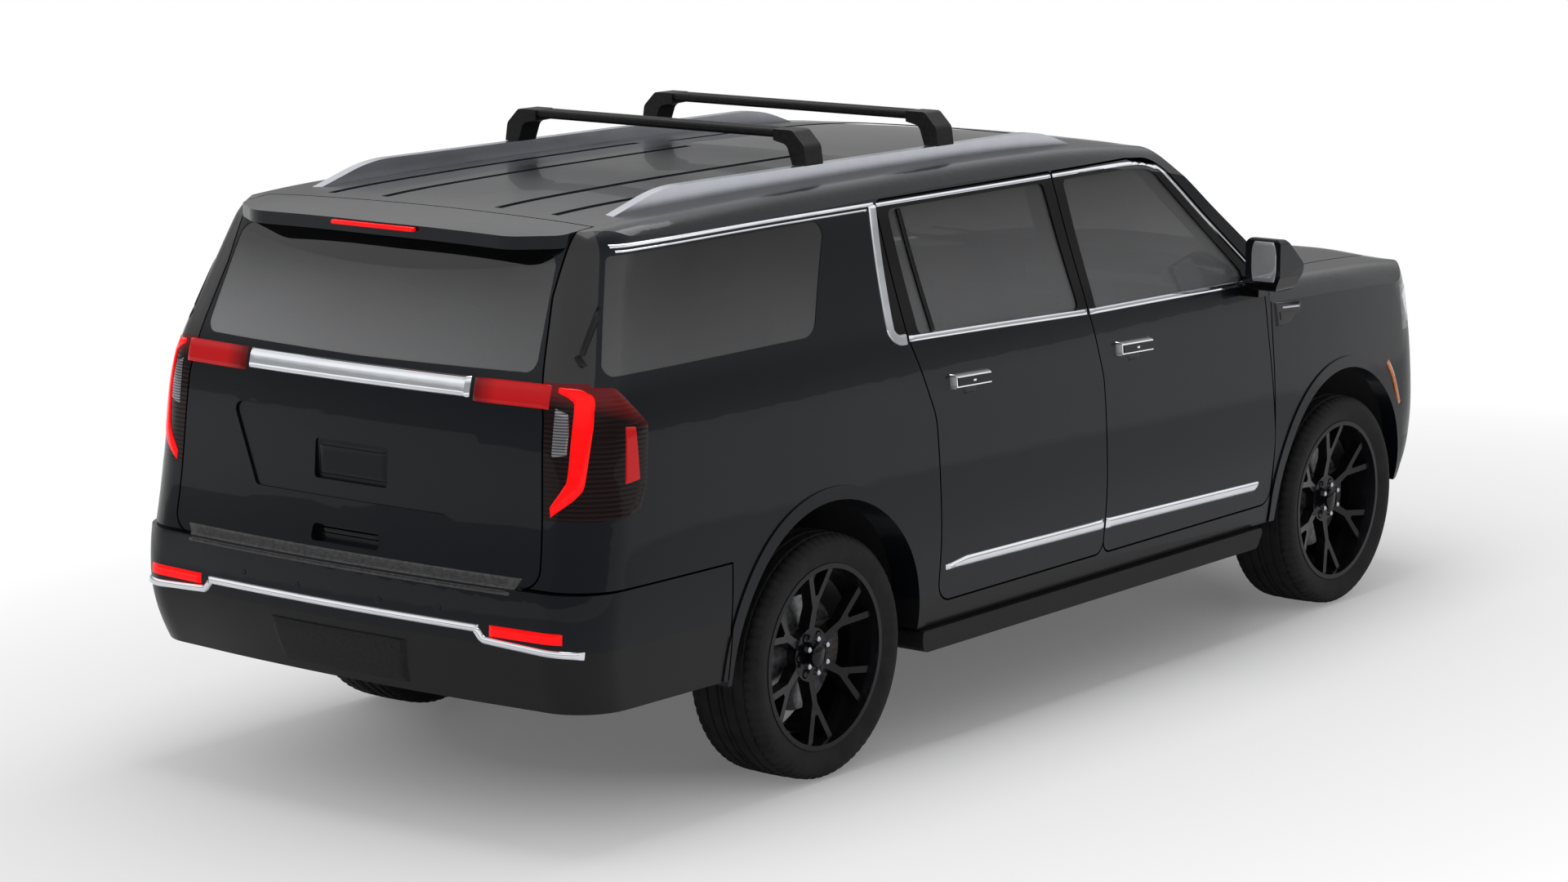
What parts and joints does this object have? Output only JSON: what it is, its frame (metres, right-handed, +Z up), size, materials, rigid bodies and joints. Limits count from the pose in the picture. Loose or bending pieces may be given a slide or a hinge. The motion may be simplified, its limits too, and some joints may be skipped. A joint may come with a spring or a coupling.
{
  "type": "long full-size suv",
  "caption": "Long full-size SUV on a ladder frame, with opening side doors, tailgate and hood, steered front wheels, roof rails with crossbars and running boards",
  "frame": {"origin": "on the ground midway between the bumper ends and the wheels' sides", "axes": "+X forward, +Y to the car's left, +Z up"},
  "size_m": [5.72, 2.396, 2.132],
  "materials": {
    "body_paint": "deep metallic blue-black lacquer, high gloss",
    "tinted_glass": "grey tinted glass",
    "bright_trim": "satin bright trim",
    "black_plastic": "grained black plastic",
    "gloss_black": "gloss black",
    "red_lens": "clear red lamp lens",
    "clear_lens": "clear lamp lens",
    "tyre_rubber": "black tyre rubber",
    "wheel_alloy": "gloss black painted alloy",
    "chassis_steel": "black chassis paint",
    "cast_iron": "machined cast iron",
    "cabin_trim": "dark cabin trim",
    "seat_leather": "grey seat leather"
  },
  "bodies": {
    "body": {"roof_panel": "body_paint", "tail_lamps": "red_lens", "body_sides": "body_paint", "fixed_glass": "tinted_glass", "headlamps": "clear_lens", "grille": "gloss_black", "front_bumper": "body_paint", "fenders": "body_paint", "rear_bumper": "body_paint", "rear_knuckles": "cast_iron", "ladder_frame": "chassis_steel", "floor_pan": "black_plastic", "wheel_liners": "black_plastic", "seats": "seat_leather", "dashboard": "cabin_trim", "engine_block": "cast_iron", "roof_rails": "bright_trim", "crossbars": "black_plastic", "running_boards": "black_plastic"},
    "tailgate": {"tailgate": "body_paint", "tailgate_glass": "tinted_glass"},
    "hood": {"hood": "body_paint"},
    "front_door_left": {"front_door_left": "body_paint", "front_door_glass_left": "tinted_glass", "mirror_left": "body_paint"},
    "rear_door_left": {"rear_door_left": "body_paint", "rear_door_glass_left": "tinted_glass"},
    "knuckle_left": {"front_knuckle_left": "cast_iron"},
    "wheel_front_left": {"tyre_front_left": "tyre_rubber", "rim_front_left": "wheel_alloy"},
    "wheel_rear_left": {"tyre_rear_left": "tyre_rubber", "rim_rear_left": "wheel_alloy"},
    "front_door_right": {"front_door_right": "body_paint", "front_door_glass_right": "tinted_glass", "mirror_right": "body_paint"},
    "rear_door_right": {"rear_door_right": "body_paint", "rear_door_glass_right": "tinted_glass"},
    "knuckle_right": {"front_knuckle_right": "cast_iron"},
    "wheel_front_right": {"tyre_front_right": "tyre_rubber", "rim_front_right": "wheel_alloy"},
    "wheel_rear_right": {"tyre_rear_right": "tyre_rubber", "rim_rear_right": "wheel_alloy"}
  },
  "joints": [
    {"name": "tailgate_hinge", "type": "hinge", "parent": "body", "child": "tailgate", "pos_m": [-2.4, 0, 1.9515], "axis": [0, 1, 0], "range_deg": [0, 78]},
    {"name": "hood_hinge", "type": "hinge", "parent": "body", "child": "hood", "pos_m": [1.5755, 0, 1.3735], "axis": [0, -1, 0], "range_deg": [0, 48]},
    {"name": "front_door_left_hinge", "type": "hinge", "parent": "body", "child": "front_door_left", "pos_m": [1.3015, 1.03, 0.9], "axis": [0, 0, -1], "range_deg": [0, 65]},
    {"name": "rear_door_left_hinge", "type": "hinge", "parent": "body", "child": "rear_door_left", "pos_m": [0.1095, 1.03, 0.9], "axis": [0, 0, -1], "range_deg": [0, 65]},
    {"name": "steer_left", "type": "hinge", "parent": "body", "child": "knuckle_left", "pos_m": [1.855, 0.774, 0.419], "axis": [0, 0, 1], "range_deg": [-33, 33]},
    {"name": "wheel_front_left_spin", "type": "hinge", "parent": "knuckle_left", "child": "wheel_front_left", "pos_m": [1.855, 0.87, 0.419], "axis": [0, 1, 0], "continuous": true},
    {"name": "wheel_rear_left_spin", "type": "hinge", "parent": "body", "child": "wheel_rear_left", "pos_m": [-1.552, 0.87, 0.419], "axis": [0, 1, 0], "continuous": true},
    {"name": "front_door_right_hinge", "type": "hinge", "parent": "body", "child": "front_door_right", "pos_m": [1.3015, -1.03, 0.9], "axis": [0, 0, 1], "range_deg": [0, 65]},
    {"name": "rear_door_right_hinge", "type": "hinge", "parent": "body", "child": "rear_door_right", "pos_m": [0.1095, -1.03, 0.9], "axis": [0, 0, 1], "range_deg": [0, 65]},
    {"name": "steer_right", "type": "hinge", "parent": "body", "child": "knuckle_right", "pos_m": [1.855, -0.774, 0.419], "axis": [0, 0, 1], "range_deg": [-33, 33]},
    {"name": "wheel_front_right_spin", "type": "hinge", "parent": "knuckle_right", "child": "wheel_front_right", "pos_m": [1.855, -0.87, 0.419], "axis": [0, 1, 0], "continuous": true},
    {"name": "wheel_rear_right_spin", "type": "hinge", "parent": "body", "child": "wheel_rear_right", "pos_m": [-1.552, -0.87, 0.419], "axis": [0, 1, 0], "continuous": true}
  ],
  "couplings": [
    {"joint": "steer_right", "follows": "steer_left", "ratio": 1}
  ]
}
